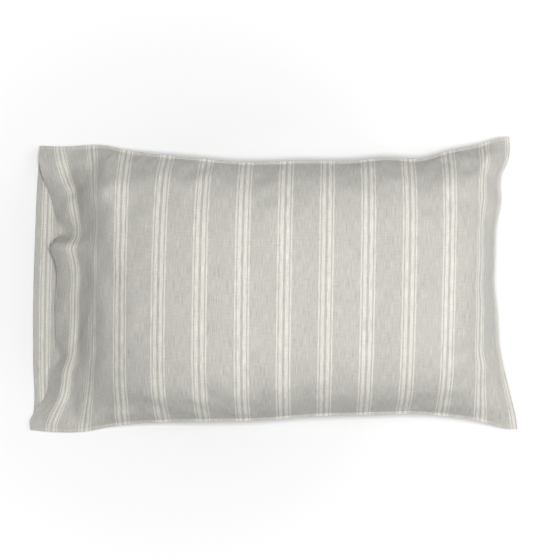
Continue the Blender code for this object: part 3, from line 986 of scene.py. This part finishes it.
def edge_height(x, y):
    """The insert's corded edge dips towards the case's mouth and at its far corners."""
    corner = ease((x - 0.28) / 0.09) * ease((np.abs(y) - 0.12) / 0.09)
    mouth = ease((-0.16 - x) / 0.14)
    return INSERT_EDGE_HEIGHT - EDGE_MOUTH_DIP * mouth - EDGE_CORNER_DIP * corner


def pucker(share_along, share_across, seed):
    """Shallow gathers that run in from the edge seams, 0 to 1."""
    rng = np.random.default_rng(seed)
    gathers = np.zeros_like(share_along)
    for place, inwards, count in ((share_along, 1 - np.abs(share_across), 46),
                                  (share_across, 1 - np.abs(share_along), 30)):
        wave = sum(np.sin(math.pi * count * f * place + rng.uniform(0, 6.3))
                   for f in (0.6, 1.0, 1.5)) / 3
        near = np.exp(-((inwards / 0.10) ** 1.5)) * (1 - np.exp(-((inwards / 0.012) ** 2)))
        gathers += near * (0.5 + 0.5 * wave)
    return np.clip(gathers, 0, 1)


def plumped(heights):
    """A cover's heights once its cloth has settled round the fibre, its seam held."""
    sheet = np.stack([insert_x, insert_y, heights], -1)
    sewn = np.maximum(np.abs(s), np.abs(t)) > SEWN_FROM
    move = settled(sheet[::2, ::2], sewn[::2, ::2])
    return heights + resampled(move, sheet.shape)[..., 2]


def domed(low, high, along_power, across_power):
    """Heights from the low edge to the high middle. A larger power climbs more steeply."""
    return low + (high - low) * (1 - np.abs(s) ** along_power) * (1 - np.abs(t) ** across_power)


front_height = height_map(front_sheet, False)
s, t = np.meshgrid(np.linspace(-1, 1, INSERT_CELLS[0] + 1), np.linspace(-1, 1, INSERT_CELLS[1] + 1),
                   indexing="ij")
s = np.sin(s * EDGE_CROWDING[0]) / math.sin(EDGE_CROWDING[0])
t = np.sin(t * EDGE_CROWDING[1]) / math.sin(EDGE_CROWDING[1])
insert_x, insert_y = insert_plan(s, t)
edge_z = edge_height(insert_x, insert_y)
crown = domed(edge_z, INSERT_CROWN, 5, 3.2)
room = front_height(insert_x, insert_y) - ROOM_UNDER_FRONT
held_in = -np.log(np.exp(-crown / ROOM_SOFTNESS) + np.exp(-room / ROOM_SOFTNESS)) * ROOM_SOFTNESS
insert_top = domed(edge_z, held_in, 60, 60)
lumps = TOP_LUMP_DEPTH * (0.5 + 0.25 * slow_waves(insert_x, insert_y, 9, 0.07))
insert_top -= TOP_PUCKER_DEPTH * pucker(s, t, 5) + domed(0.0, lumps, 8, 8)
insert_top = np.minimum(plumped(insert_top), np.maximum(room, edge_z))
insert_top = np.maximum(insert_top, edge_z)
belly = domed(edge_z, INSERT_BELLY, 9, 7)
belly += BELLY_PUCKER_DEPTH * pucker(s, t, 6)
belly = plumped(belly)
floor = back_height(insert_x, insert_y) + ROOM_OVER_BACK
insert_low = np.minimum(np.maximum(np.minimum(belly, edge_z), floor), edge_z)
flat_along = (s + 1) / 2 * INSERT_FLAT[1]
flat_across = (t + 1) / 2 * INSERT_FLAT[0]
gap = TICKING_THICKNESS / 2 + COVER_CLEARANCE
for name, node, heights, lift in (("insert_ticking_top", "insert_cover_top", insert_top, gap),
                                  ("insert_ticking_bottom", "insert_cover_bottom", insert_low, -gap)):
    cover = cloth_piece(name, np.stack([insert_x, insert_y, heights + lift], -1),
                        np.stack([flat_along, flat_across], -1), TICKING_THICKNESS, ticking)
    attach(cover, "insert")
    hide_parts(node)

# ---------------------------------------------------------------------------
# The piping: a cotton-covered cord all round, between the two covers' edges.

PIPING_RADIUS = 0.0016
PIPING_CLEARANCE = 0.0001
PIPING_COLOUR = (0.74, 0.73, 0.70)

plan = np.stack([insert_x, insert_y], -1)
round_the_edge = np.concatenate([plan[:, 0], plan[-1, 1:], plan[-2::-1, -1], plan[0, -2:0:-1]])[::2]
ahead = np.roll(round_the_edge, -1, 0) - np.roll(round_the_edge, 1, 0)
outward = np.stack([ahead[:, 1], -ahead[:, 0]], -1) / np.linalg.norm(ahead, axis=1)[:, None]
cord_path = round_the_edge + outward * (PIPING_RADIUS + PIPING_CLEARANCE)
cord = bpy.data.curves.new("insert_piping_cord", "CURVE")
cord.dimensions = "3D"
cord.bevel_depth = PIPING_RADIUS
cord.bevel_resolution = 2
spline = cord.splines.new("POLY")
spline.points.add(len(cord_path) - 1)
spline.use_cyclic_u = True
cord_height = edge_height(cord_path[:, 0], cord_path[:, 1])
for point, x, y, z in zip(spline.points, *cord_path.T.tolist(), cord_height.tolist()):
    point.co = (x, y, z, 1.0)
piping_maker = bpy.data.objects.new("piping_line", cord)
bpy.context.scene.collection.objects.link(piping_maker)
piping = made_mesh(piping_maker, "insert_piping_cord")

piping_cotton = fibrous_material("piping_cord", PIPING_COLOUR, roughness=0.7, lumps=1600.0,
                                 detail=1.0, darkest=0.92, contrast=0.16, strength=0.3,
                                 depth=0.0002)
piping.data.materials.clear()
piping.data.materials.append(piping_cotton)
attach(piping, "insert")
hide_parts("insert_piping")

# ---------------------------------------------------------------------------
# The filling: one soft lump of white fibre inside the ticking.

FILL_COLOUR = (0.93, 0.93, 0.92)
FILL_CLEARANCE = 0.0022
FILL_LEAST_DEPTH = 0.0015

keep = (slice(6, -6, 3), slice(5, -5, 3))
top_side = np.stack([insert_x[keep], insert_y[keep], insert_top[keep] - FILL_CLEARANCE], -1)
low_side = np.stack([insert_x[keep], insert_y[keep], insert_low[keep] + FILL_CLEARANCE], -1)
low_side[..., 2] = np.minimum(low_side[..., 2], top_side[..., 2] - FILL_LEAST_DEPTH)
lump = shell_mesh("insert_fibre", top_side, low_side)
lump.shade_smooth()
fibre = bpy.data.objects.new("insert_fibre", lump)
bpy.context.scene.collection.objects.link(fibre)

fibre_material = fibrous_material("polyester_fibre", FILL_COLOUR, roughness=0.9, lumps=90.0,
                                  detail=6.0, darkest=0.90, contrast=0.14, strength=0.6,
                                  depth=0.002)
lump.materials.append(fibre_material)
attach(fibre, "insert")
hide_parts("insert_fill")

# ---------------------------------------------------------------------------
# The insert's label: a blank woven tab caught in the end seam beside the piping,
# hanging to the back panel just inside the case's mouth.

INSERT_LABEL_WIDTH = 0.040
INSERT_LABEL_LENGTH = 0.046
INSERT_LABEL_SIDE = 0.130
INSERT_LABEL_DROP = (
    (0.000, -0.3165, 0.0165), (0.007, -0.3215, 0.0120), (0.016, -0.3275, 0.0062),
    (0.026, -0.3365, 0.0036), (0.036, -0.3465, 0.0031), (0.046, -0.3565, 0.0030),
)

u, v = np.meshgrid(np.linspace(0, INSERT_LABEL_LENGTH, 24),
                   np.linspace(0, INSERT_LABEL_WIDTH, 17), indexing="ij")
drop = smooth_table(INSERT_LABEL_DROP)(u)
insert_label = cloth_piece(
    "insert_label_blank",
    np.stack([drop[..., 0], INSERT_LABEL_SIDE + v, drop[..., 1]], -1)[:, ::-1],
    np.stack([u, v], -1)[:, ::-1], LABEL_THICKNESS, label_cloth)
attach(insert_label, "insert")
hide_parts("insert_label")
